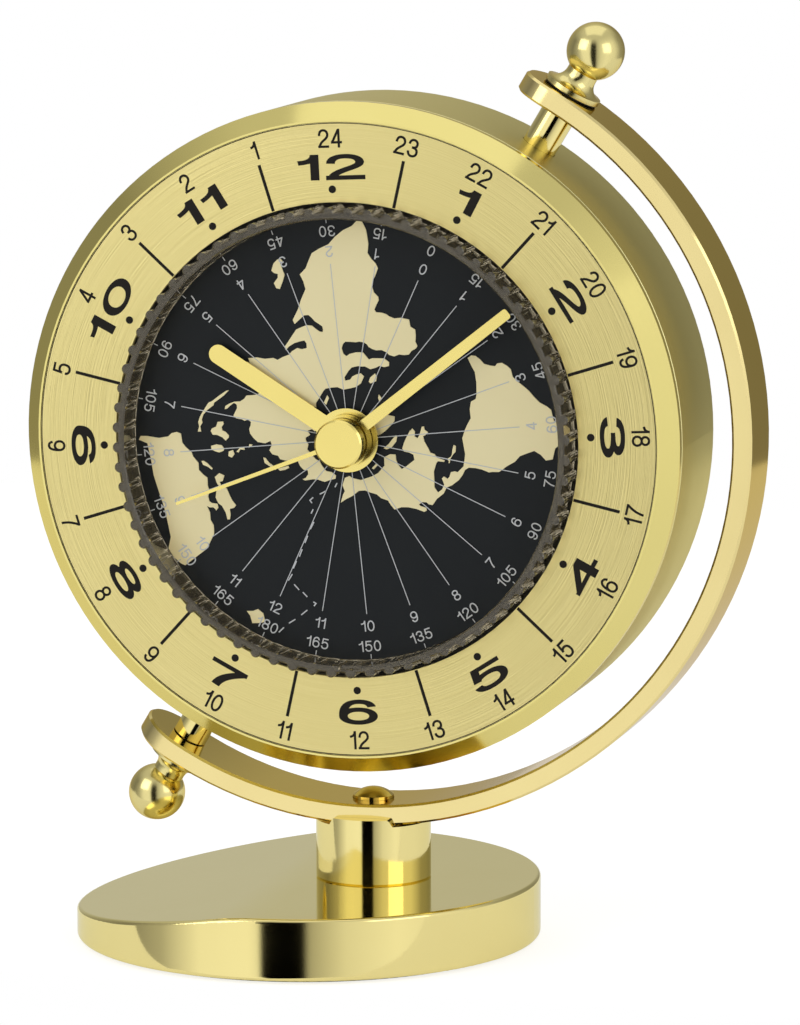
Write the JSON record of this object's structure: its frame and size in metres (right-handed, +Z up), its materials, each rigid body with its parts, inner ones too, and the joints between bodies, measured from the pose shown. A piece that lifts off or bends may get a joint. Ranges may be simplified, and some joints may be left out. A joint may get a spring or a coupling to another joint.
{
  "type": "world time clock",
  "caption": "Desk world-time clock: a round case with hands and a turning world map disc swivels in a C-shaped arm on a round base with a sloping top.",
  "frame": {"origin": "centre of the underside of the round base, on the surface that the clock stands on", "axes": "+Z up; -Y towards the viewer, the way the dial faces; +X to the viewer's right, the side the arm goes round"},
  "size_m": [0.1446, 0.0932, 0.1843],
  "materials": {
    "polished_gold": "mirror-polished pale gold plate",
    "arm_gold": "polished warm gold plate",
    "finial_gold": "soft-polished gold plate",
    "satin_gold": "satin pale gold plate",
    "bezel_gold": "polished gold plate",
    "dial_gold": "circular-brushed gold with black printed figures",
    "relief_gold": "fine matt gold",
    "hand_gold": "polished gold plate",
    "map_black": "fine matt black with white printed lines",
    "clear_acrylic": "clear moulded acrylic",
    "black_plastic": "fine-grained black plastic",
    "movement_plastic": "dark grey moulded plastic",
    "gear_plastic": "natural acetal",
    "gear_brass": "machined brass",
    "steel": "bright steel",
    "bush_nylon": "black nylon",
    "felt": "dark felt",
    "copper_wire": "enamelled copper",
    "circuit_green": "green circuit laminate",
    "chip_black": "black resin",
    "battery_jacket": "plain printed jacket"
  },
  "bodies": {
    "stand": {"base": "polished_gold", "base_pad": "felt", "base_screw": "steel", "post": "polished_gold", "arm": "arm_gold", "arm_screw": "arm_gold", "upper_bush": "bush_nylon", "lower_bush": "bush_nylon"},
    "case": {"back_cover": "black_plastic", "battery": "battery_jacket", "battery_bay": "black_plastic", "bezel": "bezel_gold", "circuit_board": "circuit_green", "coil_bobbin": "movement_plastic", "coil_winding": "copper_wire", "cover_screws": "steel", "dial_plate": "black_plastic", "dial_ring": "dial_gold", "driver_chip": "chip_black", "drum": "satin_gold", "front_plate": "movement_plastic", "idler_stud": "steel", "lower_finial": "finial_gold", "lower_pivot_block": "gear_brass", "lower_pivot_pin": "polished_gold", "lower_washer": "black_plastic", "main_plate": "movement_plastic", "motion_stud": "steel", "movement_housing": "movement_plastic", "movement_screws": "steel", "negative_contact": "steel", "positive_contact": "steel", "quartz_crystal": "steel", "retaining_ring": "steel", "stator": "steel", "upper_finial": "finial_gold", "upper_pivot_block": "gear_brass", "upper_pivot_pin": "polished_gold", "upper_washer": "black_plastic"},
    "door": {"battery_door": "black_plastic"},
    "seconds": {"second_arbor": "gear_brass", "second_hand": "hand_gold", "hand_cap": "hand_gold"},
    "minutes": {"centre_arbor": "gear_brass", "minute_hand": "hand_gold"},
    "hours": {"hour_wheel": "gear_plastic", "hour_hand": "hand_gold"},
    "map": {"world_wheel": "gear_plastic", "world_disc": "map_black", "clear_ring": "clear_acrylic", "continents": "relief_gold"},
    "third": {"third_wheel": "gear_plastic"},
    "fifth": {"fifth_wheel": "gear_plastic"},
    "rotor": {"rotor": "steel"},
    "motion": {"motion_wheel": "gear_plastic"},
    "idler": {"idler_wheel": "gear_plastic"},
    "setting": {"set_shaft": "steel", "set_knob": "black_plastic"}
  },
  "joints": [
    {"name": "case_swivel", "type": "hinge", "parent": "stand", "child": "case", "pos_m": [0.0135, 0, 0.1032], "axis": [0.515, 0, 0.8572], "continuous": true},
    {"name": "door_hinge", "type": "hinge", "parent": "case", "child": "door", "pos_m": [0.0135, 0.0136, 0.07], "axis": [1, 0, 0], "range_deg": [0, 80]},
    {"name": "second_spin", "type": "hinge", "parent": "case", "child": "seconds", "pos_m": [0.0135, 0, 0.1032], "axis": [0, 1, 0], "continuous": true},
    {"name": "minute_spin", "type": "hinge", "parent": "case", "child": "minutes", "pos_m": [0.0135, 0, 0.1032], "axis": [0, 1, 0], "continuous": true},
    {"name": "hour_spin", "type": "hinge", "parent": "case", "child": "hours", "pos_m": [0.0135, 0, 0.1032], "axis": [0, 1, 0], "continuous": true},
    {"name": "map_spin", "type": "hinge", "parent": "case", "child": "map", "pos_m": [0.0135, 0, 0.1032], "axis": [0, 1, 0], "continuous": true},
    {"name": "third_spin", "type": "hinge", "parent": "case", "child": "third", "pos_m": [0.00127, 0, 0.10262], "axis": [0, 1, 0], "continuous": true},
    {"name": "fifth_spin", "type": "hinge", "parent": "case", "child": "fifth", "pos_m": [0.02549, 0, 0.10377], "axis": [0, 1, 0], "continuous": true},
    {"name": "rotor_spin", "type": "hinge", "parent": "case", "child": "rotor", "pos_m": [0.03012, 0, 0.10804], "axis": [0, 1, 0], "continuous": true},
    {"name": "motion_spin", "type": "hinge", "parent": "case", "child": "motion", "pos_m": [0.01418, 0, 0.08882], "axis": [0, 1, 0], "continuous": true},
    {"name": "idler_spin", "type": "hinge", "parent": "case", "child": "idler", "pos_m": [0.02108, 0, 0.08361], "axis": [0, 1, 0], "continuous": true},
    {"name": "set_spin", "type": "hinge", "parent": "case", "child": "setting", "pos_m": [-0.00077, 0, 0.08256], "axis": [0, 1, 0], "continuous": true}
  ],
  "couplings": [
    {"joint": "minute_spin", "follows": "second_spin", "ratio": 0.016667},
    {"joint": "hour_spin", "follows": "second_spin", "ratio": 0.0013889},
    {"joint": "map_spin", "follows": "second_spin", "ratio": -0.00069444},
    {"joint": "third_spin", "follows": "second_spin", "ratio": -0.13333},
    {"joint": "fifth_spin", "follows": "second_spin", "ratio": -5},
    {"joint": "rotor_spin", "follows": "second_spin", "ratio": 30},
    {"joint": "motion_spin", "follows": "second_spin", "ratio": -0.0055556},
    {"joint": "idler_spin", "follows": "second_spin", "ratio": 0.0027778},
    {"joint": "set_spin", "follows": "second_spin", "ratio": 0.011111}
  ]
}
